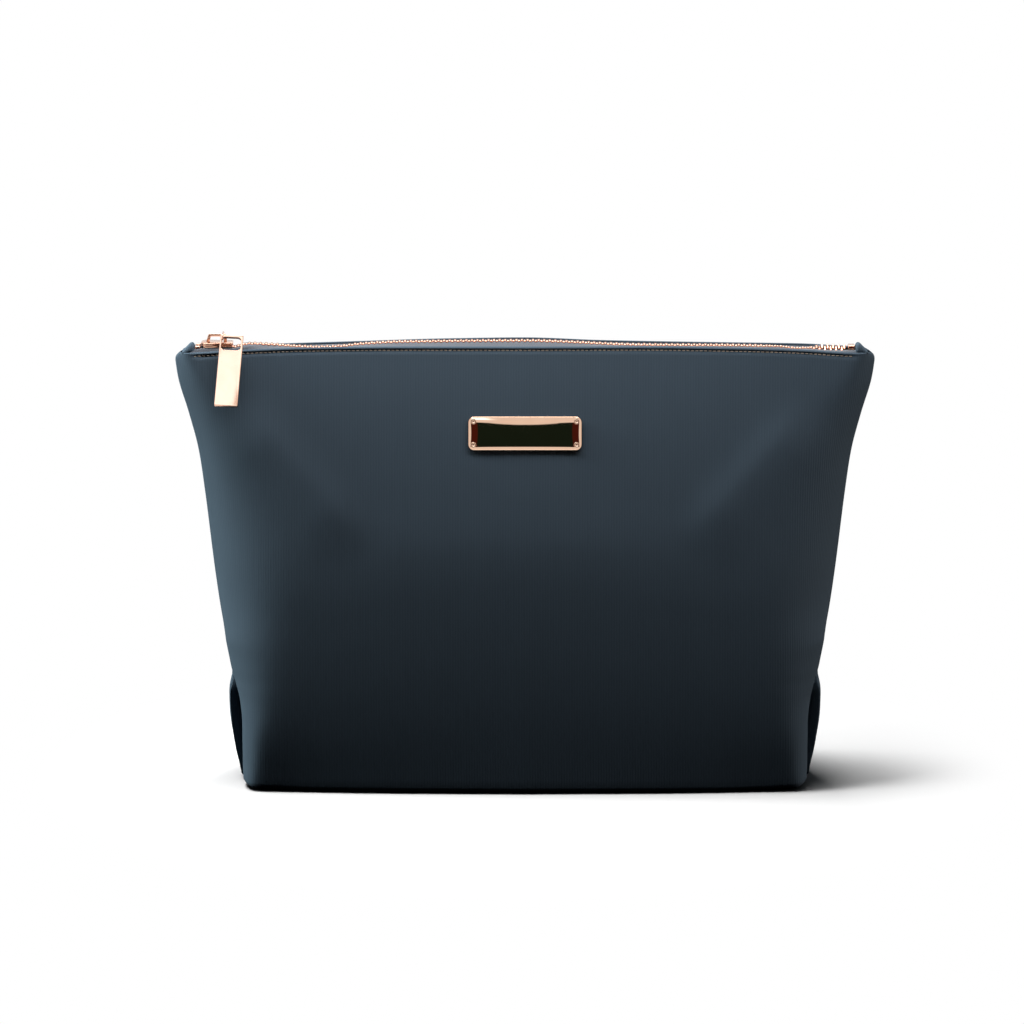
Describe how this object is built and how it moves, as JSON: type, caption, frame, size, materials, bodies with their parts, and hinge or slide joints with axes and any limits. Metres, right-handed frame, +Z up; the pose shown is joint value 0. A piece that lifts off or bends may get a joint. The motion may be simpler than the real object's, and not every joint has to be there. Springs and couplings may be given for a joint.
{
  "type": "zippered pouch",
  "caption": "Soft wedge-shaped fabric pouch with tucked lower sides, a metal zip across its mouth, a slider with a long pull tab, and a riveted nameplate.",
  "frame": {"origin": "centre of the base on the surface that it stands on", "axes": "+X along the width, away from the closed slider; -Y out of the front that carries the nameplate; +Z up to the zip"},
  "size_m": [0.242, 0.0678, 0.1554],
  "materials": {
    "outer_fabric": "ribbed dark navy satin weave with a soft sheen",
    "interlining": "grey felt, hidden between the outer fabric and the lining",
    "lining": "thin dark plain weave",
    "zip_tape": "blue-grey woven zip tape",
    "thread": "taupe sewing thread",
    "rose_gold": "polished rose gold plating"
  },
  "bodies": {
    "pouch": {"front_panel": "outer_fabric", "back_panel": "outer_fabric", "front_interlining": "interlining", "back_interlining": "interlining", "front_lining": "lining", "back_lining": "lining", "front_top_stop": "rose_gold", "back_top_stop": "rose_gold", "bottom_stop": "rose_gold", "left_end_tab": "outer_fabric", "right_end_tab": "outer_fabric", "nameplate": "rose_gold", "nameplate_rivets": "rose_gold", "nameplate_washers": "rose_gold", "front_topstitch": "thread", "back_topstitch": "thread"},
    "slider": {"slider_body": "rose_gold", "slider_bridge": "rose_gold"},
    "pull_link": {"pull_link": "rose_gold"},
    "pull_tab": {"pull_tab": "rose_gold"},
    "front_flap": {"front_zip_tape": "zip_tape", "front_zip_teeth": "rose_gold"},
    "back_flap": {"back_zip_tape": "zip_tape", "back_zip_teeth": "rose_gold"}
  },
  "joints": [
    {"name": "zip_slide", "type": "slide", "parent": "pouch", "child": "slider", "axis": [1, 0, 0], "range_m": [0, 0.205]},
    {"name": "link_swivel", "type": "hinge", "parent": "slider", "child": "pull_link", "pos_m": [-0.10325, 0, 0.15362], "axis": [-1, 0, 0], "range_deg": [0, 140]},
    {"name": "tab_swing", "type": "hinge", "parent": "pull_link", "child": "pull_tab", "pos_m": [-0.10325, -0.0057, 0.15362], "axis": [-0.9998, 0.0103, 0.0141], "range_deg": [0, 145]},
    {"name": "front_flap_open", "type": "hinge", "parent": "pouch", "child": "front_flap", "pos_m": [0, -0.0052, 0.149], "axis": [1, 0, 0], "range_deg": [0, 70], "deforming": ["front_zip_tape", "front_zip_teeth"]},
    {"name": "back_flap_open", "type": "hinge", "parent": "pouch", "child": "back_flap", "pos_m": [0, 0.0052, 0.149], "axis": [-1, 0, 0], "range_deg": [0, 70], "deforming": ["back_zip_tape", "back_zip_teeth"]}
  ],
  "couplings": [
    {"joint": "front_flap_open", "follows": "zip_slide", "rad_per_m": 5.95},
    {"joint": "back_flap_open", "follows": "zip_slide", "rad_per_m": 5.95}
  ]
}
